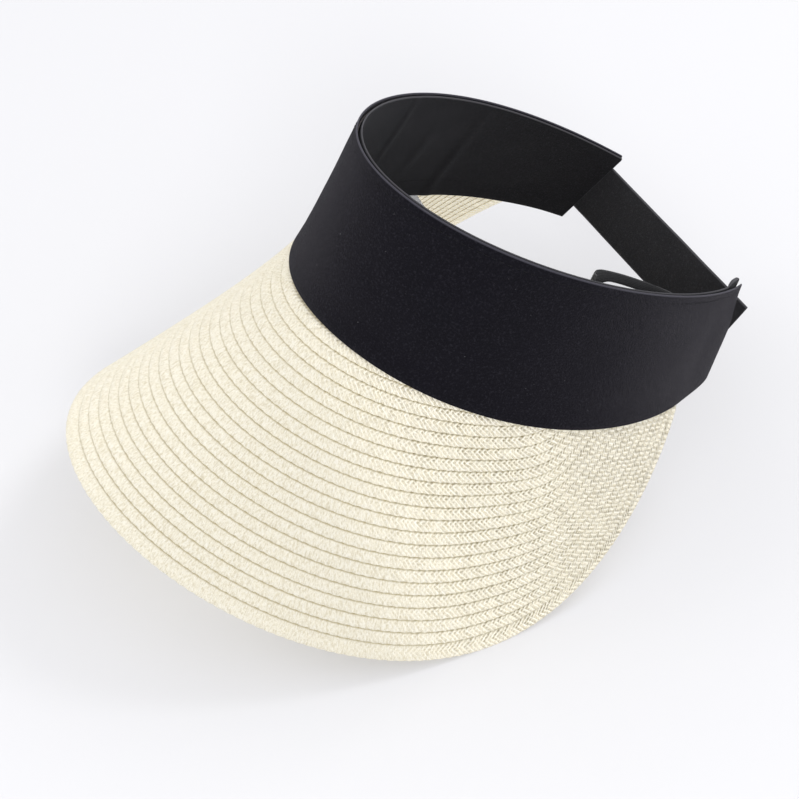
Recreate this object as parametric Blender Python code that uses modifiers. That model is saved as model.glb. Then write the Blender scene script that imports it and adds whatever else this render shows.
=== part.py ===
"""Open-crown sun visor: a wide brim of braided paper straw under a layered cloth headband.

Units are metres and degrees, +Z up. The visor lies as on a table: its front points to -Y, its rear strap is at +Y,
and the two side edges of the brim touch z = 0. It is symmetric about X = 0 apart from the strap, loop and label.
Run it with: blender --background --python part.py
"""

import math

import bpy
import numpy as np
from mathutils import Matrix, Vector

COLLECTION = "sun_visor"

# Where the origin lies: under the middle of the bounding box, at the height of the side edges.
ORIGIN_Y = -0.0553
ORIGIN_Z = 0.00039

# The three outlines, symmetric about X = 0. Going round by an angle that is 0 at the front,
# x is a sum of sines of 1, 2, 3 times the angle, and y and z are sums of cosines of 0, 1, 2, 3 times it.
LOWER_RIM = {
    "x": (0.0813, -0.0037, -0.0040),
    "y": (0.0000, -0.1018, 0.0034, 0.0028),
    "z": (0.0836, 0.0372, 0.0013, 0.0000),
    "end": 132.0,
}
UPPER_RIM = {
    "x": (0.0706, 0.0001, -0.0002),
    "y": (0.0273, -0.0928, 0.0026, -0.0010),
    "z": (0.1321, 0.0523, -0.0037, 0.0009),
    "end": 135.3,
}
BRIM_EDGE = {
    "x": (0.1185, 0.0091, 0.0038),
    "y": (-0.0478, -0.1374, -0.0140, -0.0045),
    "z": (0.0450, -0.0242, 0.0406, 0.0044),
    "end": 134.4,
}
BRIM_END_ON_RIM = 116.1  # the angle on the lower rim where each tip of the brim ends

# Braid
BRAID_THICKNESS = 0.0008
ROW_PITCH = 0.0054
EDGE_ROW_WIDTH = 0.0071
ROW_OVERLAP = 0.0016
ROW_CLEARANCE = 0.00036
ROW_TIP_WIDTH = 0.0009  # a row stops where less than this of it is left outside the band
LAPPING_SPAN = (0.55, 0.85)  # shares of the edge between which the rows draw together
LAPPING_TIGHTEST = 1.45
LAPPING_LOOSEST = 0.05
CORNER_SHARPNESS = 12.0
RIM_GAP = 0.0006
BRIM_STEPS = 48

# Band: layer centres measured outward from the middle of the wall
COVER_THICKNESS = 0.0007
COVER_OFFSET = 0.0011
LINING_THICKNESS = 0.0007
LINING_OFFSET = -0.0011
COVER_HEM = 0.004  # share of the wall between the rim and each lower edge; the two stand apart to take the brim
LINING_HEM = -0.012
SPREAD = 0.00065  # how much farther from the middle the two layers are at their lower edge
SPREAD_TOP = 0.15
SPREAD_ENDS = (0.86, 0.95)
STIFFENER_THICKNESS = 0.0009
STIFFENER_SPAN = (0.20, 0.965)
STIFFENER_END = 0.93
WALL_STEPS = 56
SKIN_GAP = 0.0003

# Joining tape: closes in the brim's cut edge and goes up between cover and lining
TAPE_THICKNESS = 0.0009
TAPE_SPAN = (0.006, 0.18)
TAPE_REACH = 0.872

# Thread
THREAD_RADIUS = 0.00022
TOP_STITCH_HEIGHT = 0.945
JOINING_STITCH_HEIGHT = 0.16
ANCHOR_STITCH_AT = 0.972

# Strap, from the far (-X) end of the band to just behind the near end
STRAP_SPAN = (0.18, 0.82)  # the part of the band's height that the strap takes up
STRAP_THICKNESS = 0.0012
STRAP_LENGTH = 0.1098
STRAP_HEADING = (0.9985, 0.0480, -0.0250)
STRAP_FREE_EDGE = (-0.165, -0.415, -0.895)  # runs from the upper free corner to the lower one
STRAP_ROOT_GAP = 0.0014
STRAP_STEPS = 6
ROOT_TAB_SPAN = (-1.0030, -0.955)
ROOT_TAB_THICKNESS = 0.0008
HOOK_TAPE = (0.034, 0.024, 0.0011)  # length, width, thickness
HOOK_TAPE_FROM_END = 0.004
LOOP_TAPE_THICKNESS = 0.0012
LOOP_TAPE_FROM = 0.80
LOOP_TAPE_TO = 0.985
LOOP_TAPE_SPAN = (0.22, 0.86)

# Elastic loop inside the near side of the upper rim
ELASTIC_THICKNESS = 0.0007
ELASTIC_CENTRE = 0.645
ELASTIC_HALF_SPAN = 0.099
ELASTIC_DEPTH = 0.0115
ELASTIC_WIDTH = 0.0052
ELASTIC_RISE = 0.0035  # how far its front end stands above the rim
ELASTIC_FALL = 0.0038  # how much lower its rear end is sewn
ELASTIC_STEPS = 24

# Care label, standing inward from the lower edge of the far side
LABEL_SPAN = (-0.684, -0.584)
LABEL_THICKNESS = 0.0004
LABEL_LENGTH = 0.021
LABEL_OFFSET = 0.0027
LABEL_HEADING = (0.92, 0.12, -0.38)

PALETTE = {
    "straw": ((0.82, 0.76, 0.61, 1.0), 0.75),
    "cotton": ((0.012, 0.012, 0.016, 1.0), 0.85),
    "lining_cotton": ((0.016, 0.015, 0.018, 1.0), 0.88),
    "interlining": ((0.70, 0.70, 0.68, 1.0), 0.8),
    "thread": ((0.02, 0.02, 0.024, 1.0), 0.6),
    "strap_cloth": ((0.010, 0.010, 0.012, 1.0), 0.8),
    "hook_nylon": ((0.012, 0.012, 0.014, 1.0), 0.55),
    "loop_nylon": ((0.018, 0.018, 0.020, 1.0), 0.9),
    "elastic": ((0.008, 0.008, 0.010, 1.0), 0.7),
    "label_satin": ((0.86, 0.86, 0.87, 1.0), 0.5),
}


# ---------------------------------------------------------------- surfaces


def outline_point(outline, degrees):
    angle = math.radians(degrees)
    x = sum(size * math.sin((n + 1) * angle) for n, size in enumerate(outline["x"]))
    y = sum(size * math.cos(n * angle) for n, size in enumerate(outline["y"]))
    z = sum(size * math.cos(n * angle) for n, size in enumerate(outline["z"]))
    return Vector((x, y - ORIGIN_Y, z - ORIGIN_Z))


def wall_middle(along, up):
    """The middle of the band's wall: along runs -1 (far end) to 1 (near end), up runs 0 (lower rim) to 1."""
    lower = outline_point(LOWER_RIM, along * LOWER_RIM["end"])
    upper = outline_point(UPPER_RIM, along * UPPER_RIM["end"])
    return lower.lerp(upper, up)


def wall_normal(along, up):
    step = 0.001
    around = wall_middle(along + step, up) - wall_middle(along - step, up)
    rise = wall_middle(along, 1.0) - wall_middle(along, 0.0)
    return around.cross(rise).normalized()


def wall_point(along, up, outward=0.0):
    return wall_middle(along, up) + wall_normal(along, up) * outward


def brim_middle(along, inward):
    """The middle of the brim: inward runs 0 (outer edge) to 1 (lower rim of the band)."""
    edge = outline_point(BRIM_EDGE, along * BRIM_EDGE["end"])
    rim = outline_point(LOWER_RIM, along * BRIM_END_ON_RIM)
    return edge.lerp(rim, inward)


def brim_normal(along, inward):
    step = 0.001
    inside = min(along, 1.0 - step) if along > 0 else max(along, step - 1.0)
    around = brim_middle(inside + step, inward) - brim_middle(inside - step, inward)
    rise = brim_middle(inside, 1.0) - brim_middle(inside, 0.0)
    return around.cross(rise).normalized()


def brim_point(along, inward, lift=0.0):
    return brim_middle(along, inward) + brim_normal(along, inward) * lift


def layer_offset(base, along, up):
    """Cover and lining lie close together, and stand apart along the lower edge where the brim is held."""
    rise = 1.0 - min(up / SPREAD_TOP, 1.0)
    end = min(max((abs(along) - SPREAD_ENDS[0]) / (SPREAD_ENDS[1] - SPREAD_ENDS[0]), 0.0), 1.0)
    return base + math.copysign(SPREAD, base) * rise * (1.0 - end)


# ---------------------------------------------------------------- braid rows

# Rows follow the outer edge. Toward the tips they are lapped closer together, and where the front of the edge
# and its sides are equally near they round the corner instead of meeting at a point.
EDGE_SHARES = [n / 360.0 for n in range(-360, 361)]
EDGE_LINE = np.array([outline_point(BRIM_EDGE, BRIM_EDGE["end"] * share) for share in EDGE_SHARES])
EDGE_WEIGHT = np.linalg.norm(np.gradient(EDGE_LINE, axis=0), axis=1)


def lapping(share):
    """How much closer than at the front the rows lie that run past this part of the edge."""
    reach = (abs(share) - LAPPING_SPAN[0]) / (LAPPING_SPAN[1] - LAPPING_SPAN[0])
    reach = min(max(reach, 0.0), 1.0)
    eased = reach * reach * (3.0 - 2.0 * reach)
    looser = LAPPING_LOOSEST * min(abs(share) / 0.45, 1.0) ** 2
    return 1.0 + (LAPPING_TIGHTEST - 1.0) * eased - looser * (1.0 - eased)


EDGE_LAPPING = np.array([lapping(share) for share in EDGE_SHARES])


def soft_distance(points):
    gaps = np.linalg.norm(points[:, None, :] - EDGE_LINE[None, :, :], axis=2) * EDGE_LAPPING + 1e-4
    near = (EDGE_WEIGHT * gaps ** -CORNER_SHARPNESS).sum(axis=1) / EDGE_WEIGHT.sum()
    return near ** (-1.0 / (CORNER_SHARPNESS - 1.0))


def across_brim(along, samples=31):
    shares = np.linspace(0.0, 1.0, samples)
    return shares, np.array([brim_middle(along, share) for share in shares])


FRONT_POINTS = across_brim(0.0, 61)[1]
FRONT_SOFT = soft_distance(FRONT_POINTS)
FRONT_TRUE = np.linalg.norm(FRONT_POINTS - FRONT_POINTS[0], axis=1)


def depth_profile(along):
    """Depth of each point of one straight line across the brim, in the distance that it has at the front."""
    shares, points = across_brim(along)
    depths = np.interp(soft_distance(points), FRONT_SOFT, FRONT_TRUE)
    depths[0] = 0.0
    return shares, np.maximum.accumulate(depths)


def brim_depth(along):
    """Depth at which the straw stops, just short of the rim."""
    return depth_profile(along)[1][-1] - RIM_GAP


def share_at(profile, depth):
    shares, depths = profile
    return float(np.interp(depth, depths, shares))


def row_reach(outer):
    """How far round, 0 to 1, a row that starts at this depth goes before the band cuts it off."""
    low, high = 0.0, 1.0
    for _ in range(24):
        middle = (low + high) / 2.0
        if brim_depth(middle) - outer > ROW_TIP_WIDTH:
            low = middle
        else:
            high = middle
    return low


def row_stations(reach):
    grid = [n / (BRIM_STEPS / 2) for n in range(BRIM_STEPS // 2 + 1)]
    side = [station for station in grid if station < reach - 0.008] + [reach]
    return [-station for station in side[:0:-1]] + side


def braid_row(index):
    """One row: its outer margin lies over the inner margin of the row outside it."""
    outer = 0.0 if index == 0 else EDGE_ROW_WIDTH + (index - 1) * ROW_PITCH
    pitch = EDGE_ROW_WIDTH if index == 0 else ROW_PITCH
    width = pitch + ROW_OVERLAP
    top = (BRAID_THICKNESS + ROW_CLEARANCE) * (1.0 + ROW_OVERLAP / ROW_PITCH) / 2.0
    lines = ([], [])
    for station in row_stations(row_reach(outer)):
        profile = depth_profile(station)
        inner = min(outer + width, profile[1][-1] - RIM_GAP)
        for line, depth in zip(lines, (outer, inner)):
            lift = top * (1.0 - 2.0 * (depth - outer) / width)
            line.append(brim_point(station, share_at(profile, depth), lift))
    return lines


def row_count():
    return 1 + math.ceil((brim_depth(0.0) - EDGE_ROW_WIDTH - ROW_TIP_WIDTH) / ROW_PITCH)


# ---------------------------------------------------------------- building


def clear_scene():
    for item in list(bpy.data.objects):
        bpy.data.objects.remove(item, do_unlink=True)


def material(name):
    colour, roughness = PALETTE[name]
    made = bpy.data.materials.get(name) or bpy.data.materials.new(name)
    made.use_nodes = True
    shader = made.node_tree.nodes["Principled BSDF"]
    shader.inputs["Base Color"].default_value = colour
    shader.inputs["Roughness"].default_value = roughness
    shader.inputs["Metallic"].default_value = 0.0
    return made


def place(item, look):
    bpy.data.collections[COLLECTION].objects.link(item)
    item.data.materials.append(material(look))
    return item


def sheet(name, lines, thickness, look):
    """A skin through rows of points, thickened evenly to both sides."""
    across = len(lines[0])
    points = [point for line in lines for point in line]
    faces = [
        (r * across + c, r * across + c + 1, (r + 1) * across + c + 1, (r + 1) * across + c)
        for r in range(len(lines) - 1)
        for c in range(across - 1)
    ]
    mesh = bpy.data.meshes.new(name)
    mesh.from_pydata(points, [], faces)
    mesh.shade_smooth()
    item = place(bpy.data.objects.new(name, mesh), look)
    solidify = item.modifiers.new("Thickness", "SOLIDIFY")
    solidify.thickness = thickness
    solidify.offset = 0.0
    solidify.use_even_offset = True
    return item


def thread(name, points, look="thread"):
    """A round line of sewing thread."""
    curve = bpy.data.curves.new(name, "CURVE")
    curve.dimensions = "3D"
    curve.bevel_depth = THREAD_RADIUS
    curve.bevel_resolution = 1
    curve.use_fill_caps = True
    spline = curve.splines.new("POLY")
    spline.points.add(len(points) - 1)
    for spot, point in zip(spline.points, points):
        spot.co = (*point, 1.0)
    return place(bpy.data.objects.new(name, curve), look)


def box(name, size, frame, look):
    """A block whose own axes are those of the frame matrix."""
    bpy.ops.mesh.primitive_cube_add(size=1.0)
    item = bpy.context.object
    item.name = name
    item.data.name = name
    item.data.transform(Matrix.Diagonal((*size, 1.0)))
    item.matrix_world = frame
    for group in list(item.users_collection):
        group.objects.unlink(item)
    return place(item, look)


def frame_of(origin, x_axis, z_hint):
    x_axis = x_axis.normalized()
    y_axis = z_hint.cross(x_axis).normalized()
    z_axis = x_axis.cross(y_axis)
    turned = Matrix((x_axis, y_axis, z_axis)).transposed()
    return Matrix.Translation(origin) @ turned.to_4x4()


def pivot(name, frame, children):
    """An empty on a joint's axis, which carries the moving pieces."""
    empty = bpy.data.objects.new(name, None)
    empty.empty_display_size = 0.02
    empty.matrix_world = frame
    bpy.data.collections[COLLECTION].objects.link(empty)
    bpy.context.view_layer.update()
    for child in children:
        world = child.matrix_world.copy()
        child.parent = empty
        child.matrix_parent_inverse = empty.matrix_world.inverted()
        child.matrix_world = world
    return empty


def spaced(first, last, steps):
    return [first + (last - first) * n / steps for n in range(steps + 1)]


def wall_patch(name, along, up, outward, thickness, look, steps):
    lines = [[wall_point(a, u, outward) for a in spaced(*along, steps)] for u in reversed(up)]
    return sheet(name, lines, thickness, look)


# ---------------------------------------------------------------- sub-parts


def make_brim():
    for index in range(row_count()):
        name = "edge_braid_row" if index == 0 else f"braid_row_{index:02d}"
        outer, inner = braid_row(index)
        sheet(name, (inner, outer), BRAID_THICKNESS, "straw")


def band_layer(name, base, hem, thickness, look):
    heights = (1, 0.5, SPREAD_TOP, hem)
    stations = spaced(-1, 1, WALL_STEPS)
    lines = [[wall_point(a, up, layer_offset(base, a, up)) for a in stations] for up in heights]
    sheet(name, lines, thickness, look)


def make_band():
    band_layer("band_cover", COVER_OFFSET, COVER_HEM, COVER_THICKNESS, "cotton")
    band_layer("band_lining", LINING_OFFSET, LINING_HEM, LINING_THICKNESS, "lining_cotton")
    span = (STIFFENER_SPAN[0], 0.5, STIFFENER_SPAN[1])
    reach = (-STIFFENER_END, STIFFENER_END)
    wall_patch("band_stiffener", reach, span, 0.0, STIFFENER_THICKNESS, "interlining", WALL_STEPS)
    reach = (-TAPE_REACH, TAPE_REACH)
    wall_patch("joining_tape", reach, TAPE_SPAN, 0.0, TAPE_THICKNESS, "lining_cotton", BRIM_STEPS)


def make_stitches():
    outside = COVER_OFFSET + COVER_THICKNESS / 2 + SKIN_GAP + THREAD_RADIUS
    top = [wall_point(a, TOP_STITCH_HEIGHT, outside) for a in spaced(-0.985, 0.985, WALL_STEPS)]
    thread("top_stitching", top)
    inside = LINING_OFFSET - LINING_THICKNESS / 2 - SKIN_GAP - THREAD_RADIUS
    joining = [wall_point(a, JOINING_STITCH_HEIGHT, inside) for a in spaced(-0.95, 0.78, WALL_STEPS)]
    thread("joining_stitching", joining)
    anchor = [wall_point(-ANCHOR_STITCH_AT, up, outside) for up in spaced(*STRAP_SPAN, 4)]
    thread("strap_anchor_stitching", anchor)


def strap_corners():
    """Upper and lower root corners, then upper and lower free corners."""
    heading = Vector(STRAP_HEADING).normalized()
    lower, upper = (wall_point(-1.0, up) for up in STRAP_SPAN)
    gap = heading * STRAP_ROOT_GAP
    lower, upper = lower + gap, upper + gap
    free_middle = (lower + upper) / 2 + heading * STRAP_LENGTH
    half = Vector(STRAP_FREE_EDGE).normalized() * (upper - lower).length / 2
    return upper, lower, free_middle - half, free_middle + half


def make_strap():
    upper, lower, free_upper, free_lower = strap_corners()
    top = [upper.lerp(free_upper, share) for share in spaced(0, 1, STRAP_STEPS)]
    bottom = [lower.lerp(free_lower, share) for share in spaced(0, 1, STRAP_STEPS)]
    strap = sheet("rear_strap", (top, bottom), STRAP_THICKNESS, "strap_cloth")
    wall_patch(
        "strap_root_tab",
        ROOT_TAB_SPAN,
        (STRAP_SPAN[0], 0.5, STRAP_SPAN[1]),
        0.0,
        ROOT_TAB_THICKNESS,
        "strap_cloth",
        3,
    )
    length, _, thickness = HOOK_TAPE
    away = (length / 2 + HOOK_TAPE_FROM_END) / STRAP_LENGTH
    middle = (free_upper + free_lower) / 2
    root_middle = (upper + lower) / 2
    heading = (middle - root_middle).normalized()
    edge = (upper - lower).lerp(free_upper - free_lower, 1 - away).normalized()
    rearward = heading.cross(edge)
    rearward = rearward if rearward.y > 0 else -rearward
    lift = STRAP_THICKNESS / 2 + SKIN_GAP * 1.6 + thickness / 2
    centre = middle.lerp(root_middle, away) + rearward * lift
    tape = box("hook_tape", HOOK_TAPE, frame_of(centre, heading, rearward), "hook_nylon")
    pivot("strap_pivot", frame_of(root_middle, upper - lower, heading), (strap, tape))


def make_loop_tape():
    inside = LINING_OFFSET - LINING_THICKNESS / 2 - SKIN_GAP - LOOP_TAPE_THICKNESS / 2
    span = (LOOP_TAPE_SPAN[0], 0.5, LOOP_TAPE_SPAN[1])
    wall_patch("loop_tape", (LOOP_TAPE_FROM, LOOP_TAPE_TO), span, inside, LOOP_TAPE_THICKNESS, "loop_nylon", 6)


def elastic_point(turn, share, inside):
    """Along the bow, turn runs 0 (front end) to 180 degrees. Share is 0 at its lower edge and 1 at its upper one."""
    swing = math.radians(turn)
    along = ELASTIC_CENTRE - ELASTIC_HALF_SPAN * math.cos(swing)
    sunk = ELASTIC_FALL * ((1.0 - math.cos(swing)) / 2.0) ** 2
    height = ELASTIC_RISE - sunk - ELASTIC_WIDTH * (1.0 - share)
    wall = (wall_middle(along, 1.0) - wall_middle(along, 0.0)).length
    return wall_point(along, 1.0 + height / wall, -inside - ELASTIC_DEPTH * math.sin(swing))


def make_elastic_loop():
    inside = -LINING_OFFSET + LINING_THICKNESS / 2 + SKIN_GAP + ELASTIC_THICKNESS
    turns = spaced(0, 180, ELASTIC_STEPS)
    lines = [[elastic_point(turn, share, inside) for turn in turns] for share in (1, 0)]
    loop = sheet("elastic_loop", lines, ELASTIC_THICKNESS, "elastic")
    ends = [elastic_point(turn, 0.0, inside) for turn in (0, 180)]
    middle = (ends[0] + ends[1]) / 2
    pivot("elastic_loop_pivot", frame_of(middle, ends[0] - ends[1], Vector((0, 0, 1))), (loop,))


def make_label():
    """A blank woven label, sewn into the lower seam of the lining and standing inward from it."""
    away = Vector(LABEL_HEADING).normalized() * LABEL_LENGTH
    root = [wall_point(along, 0.0, -LABEL_OFFSET) for along in spaced(*LABEL_SPAN, 4)]
    tip = [point + away for point in root]
    label = sheet("care_label", (root, tip), LABEL_THICKNESS, "label_satin")
    pivot("label_pivot", frame_of((root[0] + root[-1]) / 2, root[0] - root[-1], Vector((0, 0, 1))), (label,))


def build():
    clear_scene()
    group = bpy.data.collections.new(COLLECTION)
    bpy.context.scene.collection.children.link(group)
    make_brim()
    make_band()
    make_stitches()
    make_strap()
    make_loop_tape()
    make_elastic_loop()
    make_label()


build()
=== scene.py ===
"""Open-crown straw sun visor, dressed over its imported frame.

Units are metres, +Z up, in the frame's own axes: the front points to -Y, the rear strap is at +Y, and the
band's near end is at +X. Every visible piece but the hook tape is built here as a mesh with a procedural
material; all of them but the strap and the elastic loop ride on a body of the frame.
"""

import math

import bpy
import numpy as np
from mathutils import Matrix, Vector


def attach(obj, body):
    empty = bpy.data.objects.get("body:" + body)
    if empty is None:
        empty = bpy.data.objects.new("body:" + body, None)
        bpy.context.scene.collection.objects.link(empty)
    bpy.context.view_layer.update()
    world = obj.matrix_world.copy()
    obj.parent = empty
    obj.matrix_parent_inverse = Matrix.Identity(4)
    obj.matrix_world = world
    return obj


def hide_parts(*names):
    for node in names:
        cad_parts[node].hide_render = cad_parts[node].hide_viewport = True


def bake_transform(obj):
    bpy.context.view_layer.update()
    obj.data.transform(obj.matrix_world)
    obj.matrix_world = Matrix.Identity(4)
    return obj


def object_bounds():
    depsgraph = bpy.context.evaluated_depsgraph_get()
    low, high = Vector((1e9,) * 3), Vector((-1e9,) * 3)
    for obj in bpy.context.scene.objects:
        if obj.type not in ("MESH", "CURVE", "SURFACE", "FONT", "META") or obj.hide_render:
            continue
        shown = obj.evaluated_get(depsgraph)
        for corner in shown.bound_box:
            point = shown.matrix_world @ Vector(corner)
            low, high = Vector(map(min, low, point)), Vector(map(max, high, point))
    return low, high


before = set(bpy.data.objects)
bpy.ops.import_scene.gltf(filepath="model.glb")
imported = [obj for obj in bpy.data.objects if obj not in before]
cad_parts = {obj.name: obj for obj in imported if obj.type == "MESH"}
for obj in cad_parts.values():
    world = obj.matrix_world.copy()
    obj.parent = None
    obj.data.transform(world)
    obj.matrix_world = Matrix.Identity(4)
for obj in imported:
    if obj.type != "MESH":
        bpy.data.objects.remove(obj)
CAD_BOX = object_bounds()

# ---------------------------------------------------------------- outlines, the same as in the frame's part

# Each outline runs over -end to end degrees around the head: x is a sine series, y and z are cosine series.
ORIGIN = np.array((0.0, -0.0553, 0.00039))
LOWER_RIM = {
    "x": (0.0813, -0.0037, -0.0040),
    "y": (0.0000, -0.1018, 0.0034, 0.0028),
    "z": (0.0836, 0.0372, 0.0013, 0.0000),
    "end": 132.0,
}
UPPER_RIM = {
    "x": (0.0706, 0.0001, -0.0002),
    "y": (0.0273, -0.0928, 0.0026, -0.0010),
    "z": (0.1321, 0.0523, -0.0037, 0.0009),
    "end": 135.3,
}
BRIM_EDGE = {
    "x": (0.1185, 0.0091, 0.0038),
    "y": (-0.0478, -0.1374, -0.0140, -0.0045),
    "z": (0.0450, -0.0242, 0.0406, 0.0044),
    "end": 134.4,
}
BRIM_END_ON_RIM = 116.1

# ---------------------------------------------------------------- straw rows

BRAID_THICKNESS = 0.0006  # of the strands alone, thinner than the solid rows of the frame
ROW_PITCH = 0.0054
EDGE_ROW_WIDTH = 0.0071
ROW_OVERLAP = 0.0016
ROW_CLEARANCE = 0.00004
ROW_TIP_WIDTH = 0.0009
ROW_COUNT = 22
LAPPING_SPAN = (0.55, 0.85)  # where along the brim the rows close up toward its ends
LAPPING_TIGHTEST = 1.45
LAPPING_LOOSEST = 0.05
LOOSEST_AT = 0.45
CORNER_SHARPNESS = 12.0
RIM_TUCK = 0.0012  # how far the straw runs in between the two layers of the band

STRAND_PITCH = 0.0023  # between neighbouring strands of one braid, measured along the row
PLAIT_FOLD = 0.0034  # the line of each row where its strands turn back, from its outer edge
STRAND_RELIEF = 0.00009
CROWN_RELIEF = 0.00022  # how much fuller each row is in its middle than at its edges
SCALLOP = 0.00028  # how far the turning strands bulge the row's outer edge
SCALLOP_REACH = 0.3
EDGE_BULGE = 0.35  # of the braid's thickness
UNDERSIDE_RELIEF = 0.6  # of the relief on top
ROW_PHASE_STEP = 0.37  # strands by which each row is out of step with the one before
ALONG_STEP = 0.00062
ACROSS_STEPS = 11

# ---------------------------------------------------------------- band

COVER_OFFSET = 0.0011
LINING_OFFSET = -0.0011
LAYER_THICKNESS = 0.0007
COVER_HEM = 0.004
LINING_HEM = -0.012
SPREAD = 0.00065  # how far each layer stands off where it holds the straw
SPREAD_TOP = 0.15
SPREAD_ENDS = (0.86, 0.95)
TOP_STITCH_HEIGHT = 0.945
JOINING_STITCH_HEIGHT = 0.16
ANCHOR_STITCH_AT = 0.972
SKIN_GAP = 0.0003
CORNER_ROUND = 0.0010
END_FLARE = 0.0023  # how far the near end of the band springs outward along its lower half
FLARE_FROM = 0.89
PALE_EDGE_WIDTH = 0.0007  # width of the paler line along the cloth's folded edges and ends
END_FOLD = (0.972, 0.030, 0.0027)  # of the lining's folded end: middle and half width along, and height
WRINKLES = (  # of the lining: place along, height, width, lean, reach up and down
    (-0.487, 0.66, 0.010, 0.30, 0.30),
    (-0.70, 0.30, 0.011, 0.28, 0.45),
    (-0.60, 0.45, 0.014, 0.30, 0.2),
)
WRINKLE_DEPTH = 0.0007
COVER_UNEVENNESS = 0.00010
LINING_UNEVENNESS = 0.00016
WAVE_SEEDS = ((0.3, 1.0, 0.4), (1.9, 0.7, 2.1), (2.6, 0.5, 4.0), (1.0, 0.35, 1.3))  # heading, size, start

INNER_LAYER_THICKNESS = 0.0009
INTERLINING_AREA = ((-0.93, 0.93), (0.20, 0.965), 0.006)  # along, up, and the rounding of its corners
TAPE_AREA = ((-0.872, 0.872), (0.006, 0.18), 0.0)
PILE_AREA = ((0.80, 0.985), (0.22, 0.86), 0.003)
PILE_OFFSET = -0.00235
PILE_THICKNESS = 0.0012

LONG_STITCH = (0.0024, 0.0009, 0.00017)  # length, gap and thread radius
SHORT_STITCH = (0.0022, 0.0008, 0.00018)
STITCH_SIDES, STITCH_RINGS = 6, 6
TOP_STITCH_SPAN = (-0.985, 0.985)
JOINING_STITCH_SPAN = (-0.95, 0.78)

# ---------------------------------------------------------------- strap, elastic loop and label

STRAP_SPAN = (0.18, 0.82)
STRAP_THICKNESS = 0.0012
STRAP_LENGTH = 0.1098
STRAP_WIDTH = 0.029
STRAP_HEADING = (0.9985, 0.0480, -0.0250)
STRAP_FREE_EDGE = (-0.165, -0.415, -0.895)
STRAP_ROOT_GAP = 0.0014
STRAP_ROOT_ALONG = (-0.955, -0.999)
STRAP_ROOT_THREADS = (-0.012, -0.001)  # metres along the weave that the root takes up
STRAP_ROOT_HEIGHT = 0.045
STRAP_ROOT_HALF = 0.0004
STRAP_BEND = 0.012  # on each side of the fold, as a share of the strap's length
STRAP_HEM = 0.00012
STRAP_UNEVENNESS = 0.00007

ELASTIC_THICKNESS = 0.0007
ELASTIC_CENTRE = 0.648
ELASTIC_HALF_SPAN = 0.096
ELASTIC_DEPTH = 0.0115
ELASTIC_WIDTH = 0.0052
ELASTIC_LENGTH = 0.036
ELASTIC_RISE = 0.0018  # of its upper edge over the rim at its sewn end
ELASTIC_FALL = 0.0022  # of its upper edge from there to its other end
ELASTIC_FREE_SHARE = 0.74  # of its width, where it stands free on its edge
ELASTIC_SEWN_EXTRA = 0.83  # what it gains on that at its sewn end
ELASTIC_NARROWS_AT = 64.0  # degrees round the loop
SHARES_PER_METRE = 4.0  # along the band

LABEL_SPAN = (-0.684, -0.584)
LABEL_THICKNESS = 0.0004
LABEL_LENGTH = 0.021
LABEL_WIDTH = 0.026
LABEL_CURL = 0.0012
LABEL_OFFSET = 0.0027
LABEL_HEADING = (0.92, 0.12, -0.38)

# ---------------------------------------------------------------- colours, light and camera

STRAW_FRONT_PAINTED_SHADE = 0.30  # how much painted shade darkens the front against the open sides
STRAW_LETS_THROUGH = 0.16
STRAW_PAINTED_GLOW = 0.50  # painted glow: emission on the underside, in place of the light that comes through the gaps between the strands
STRAW_LIGHT = (0.95, 0.91, 0.78)
STRAW_WARM = (0.87, 0.81, 0.64)
STRAW_PALE = (0.97, 0.94, 0.85)
STRAW_DEEP = (0.62, 0.54, 0.36)
STRAW_SHADE = (0.46, 0.39, 0.23)
# painted shade for the groove where the next row in lies over a row
STRAW_GROOVE_SHADE = (0.36, 0.305, 0.17)
LINT_COLOUR = (0.45, 0.45, 0.47)
NEUTRAL_SHEEN = (0.7, 0.72, 0.8)
PILE_DEPTH = 0.0004

FLOOR_COLOUR = (0.548, 0.548, 0.562, 1.0)
FLOOR_REACH = 25.0
FLOOR_GAP = 0.0004
WORLD_COLOUR = (0.99, 0.99, 1.0, 1.0)
WORLD_STRENGTH = 1.38
LIGHT_TARGET = (0.0, 0.0, 0.05)
LIGHTS = {  # place, diameter and power
    "key": ((-0.20, 1.20, 1.40), 0.7, 8.5),
    "fill": ((-0.70, -1.20, 1.10), 0.7, 2.8),
    "side": ((1.30, -0.45, 0.95), 0.6, 9.5),
}
CAMERA_AZIMUTH = 64.3574
CAMERA_ELEVATION = 47.7892
CAMERA_DISTANCE = 0.6671
CAMERA_TARGET = (0.0016, 0.0026, 0.03961)
CAMERA_LENS = 64.53


# ---------------------------------------------------------------- surfaces


def unit(vectors):
    return vectors / np.linalg.norm(vectors, axis=-1, keepdims=True)


def smooth(values, low, high):
    share = np.clip((np.asarray(values, float) - low) / (high - low), 0.0, 1.0)
    return share * share * (3.0 - 2.0 * share)


def arc_lengths(points):
    """The distance of each point from the first one, measured along the line through them."""
    return np.concatenate([[0.0], np.cumsum(np.linalg.norm(np.diff(points, axis=0), axis=1))])


def outline(curve, shares, end=None):
    """Points of one outline at shares -1 to 1 of its end angle."""
    angle = np.radians(np.asarray(shares, float) * (end or curve["end"]))
    x = sum(size * np.sin((n + 1) * angle) for n, size in enumerate(curve["x"]))
    y = sum(size * np.cos(n * angle) for n, size in enumerate(curve["y"]))
    z = sum(size * np.cos(n * angle) for n, size in enumerate(curve["z"]))
    return np.stack([x, y, z], -1) - ORIGIN


def wall_middle(along, up):
    """Points midway between the band's layers, on straight lines from the lower rim to the upper one."""
    lower, upper = outline(LOWER_RIM, along), outline(UPPER_RIM, along)
    return lower + (upper - lower) * np.asarray(up, float)[..., None]


def wall_normal(along, up):
    step = 0.001
    around = wall_middle(along + step, up) - wall_middle(along - step, up)
    rise = outline(UPPER_RIM, along) - outline(LOWER_RIM, along)
    return unit(np.cross(around, rise))


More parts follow.
